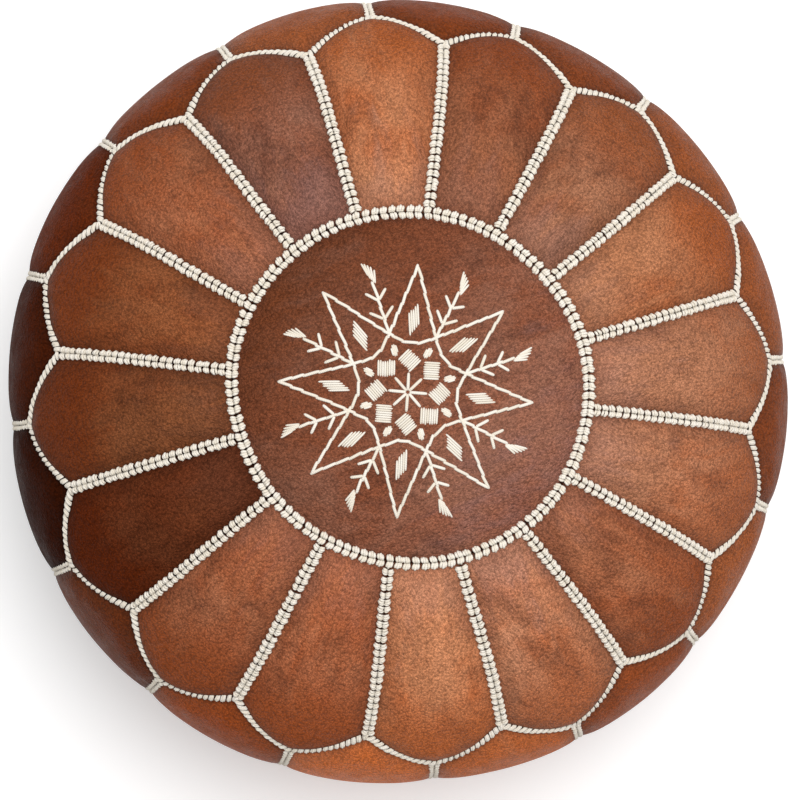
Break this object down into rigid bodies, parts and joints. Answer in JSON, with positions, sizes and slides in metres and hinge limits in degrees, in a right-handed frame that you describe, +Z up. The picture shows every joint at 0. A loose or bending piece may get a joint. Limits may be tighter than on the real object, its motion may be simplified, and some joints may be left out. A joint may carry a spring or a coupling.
{
  "type": "moroccan leather pouf",
  "caption": "Round stuffed leather pouf with a petalled top, braided cotton seams, a star-embroidered medallion and a zipped flat base.",
  "frame": {"origin": "centre of the footprint, on the floor plane", "axes": "+Z up through the middle of the medallion; +X along the zip in the base, towards the end that the slider opens to; a top seam lies along +X"},
  "size_m": [0.5138, 0.5138, 0.3389],
  "materials": {
    "leather_honey": "waxed full-grain goatskin, semi-matte",
    "leather_tan": "waxed full-grain goatskin, semi-matte",
    "leather_caramel": "waxed full-grain goatskin, semi-matte",
    "leather_rosewood": "waxed full-grain goatskin, semi-matte",
    "leather_chestnut": "waxed full-grain goatskin, semi-matte",
    "leather_umber": "waxed full-grain goatskin, semi-matte",
    "cotton_braid": "matte plaited cotton",
    "lining_cotton": "matte plain weave",
    "filling_cotton": "matte fibre waste",
    "zip_nylon": "woven tape and nylon coil",
    "zip_brass": "worn brass"
  },
  "bodies": {
    "cover": {"medallion": "leather_rosewood", "top_petal_01": "leather_tan", "top_petal_02": "leather_honey", "top_petal_03": "leather_tan", "top_petal_04": "leather_caramel", "top_petal_05": "leather_honey", "top_petal_06": "leather_rosewood", "top_petal_07": "leather_caramel", "top_petal_08": "leather_chestnut", "top_petal_09": "leather_chestnut", "top_petal_10": "leather_umber", "top_petal_11": "leather_caramel", "top_petal_12": "leather_caramel", "top_petal_13": "leather_honey", "top_petal_14": "leather_tan", "top_petal_15": "leather_caramel", "top_petal_16": "leather_tan", "side_panel_01": "leather_caramel", "side_panel_02": "leather_tan", "side_panel_03": "leather_tan", "side_panel_04": "leather_caramel", "side_panel_05": "leather_chestnut", "side_panel_06": "leather_tan", "side_panel_07": "leather_chestnut", "side_panel_08": "leather_umber", "side_panel_09": "leather_umber", "side_panel_10": "leather_umber", "side_panel_11": "leather_chestnut", "side_panel_12": "leather_chestnut", "side_panel_13": "leather_honey", "side_panel_14": "leather_honey", "side_panel_15": "leather_caramel", "side_panel_16": "leather_tan", "base_panel_front": "leather_chestnut", "base_panel_rear": "leather_chestnut", "medallion_braid": "cotton_braid", "spoke_braid_01": "cotton_braid", "spoke_braid_02": "cotton_braid", "spoke_braid_03": "cotton_braid", "spoke_braid_04": "cotton_braid", "spoke_braid_05": "cotton_braid", "spoke_braid_06": "cotton_braid", "spoke_braid_07": "cotton_braid", "spoke_braid_08": "cotton_braid", "spoke_braid_09": "cotton_braid", "spoke_braid_10": "cotton_braid", "spoke_braid_11": "cotton_braid", "spoke_braid_12": "cotton_braid", "spoke_braid_13": "cotton_braid", "spoke_braid_14": "cotton_braid", "spoke_braid_15": "cotton_braid", "spoke_braid_16": "cotton_braid", "rim_net_braid": "cotton_braid", "star_embroidery": "cotton_braid", "cotton_lining": "lining_cotton", "stuffing": "filling_cotton", "zip_tape_front": "zip_nylon", "zip_tape_rear": "zip_nylon"},
    "slider": {"zip_slider": "zip_brass"},
    "pull": {"zip_pull": "zip_brass"}
  },
  "joints": [
    {"name": "zip_slide", "type": "slide", "parent": "cover", "child": "slider", "axis": [1, 0, 0], "range_m": [0, 0.276]},
    {"name": "pull_hinge", "type": "hinge", "parent": "slider", "child": "pull", "pos_m": [-0.138, 0, 0.0092], "axis": [0, 1, 0], "range_deg": [0, 170]}
  ]
}
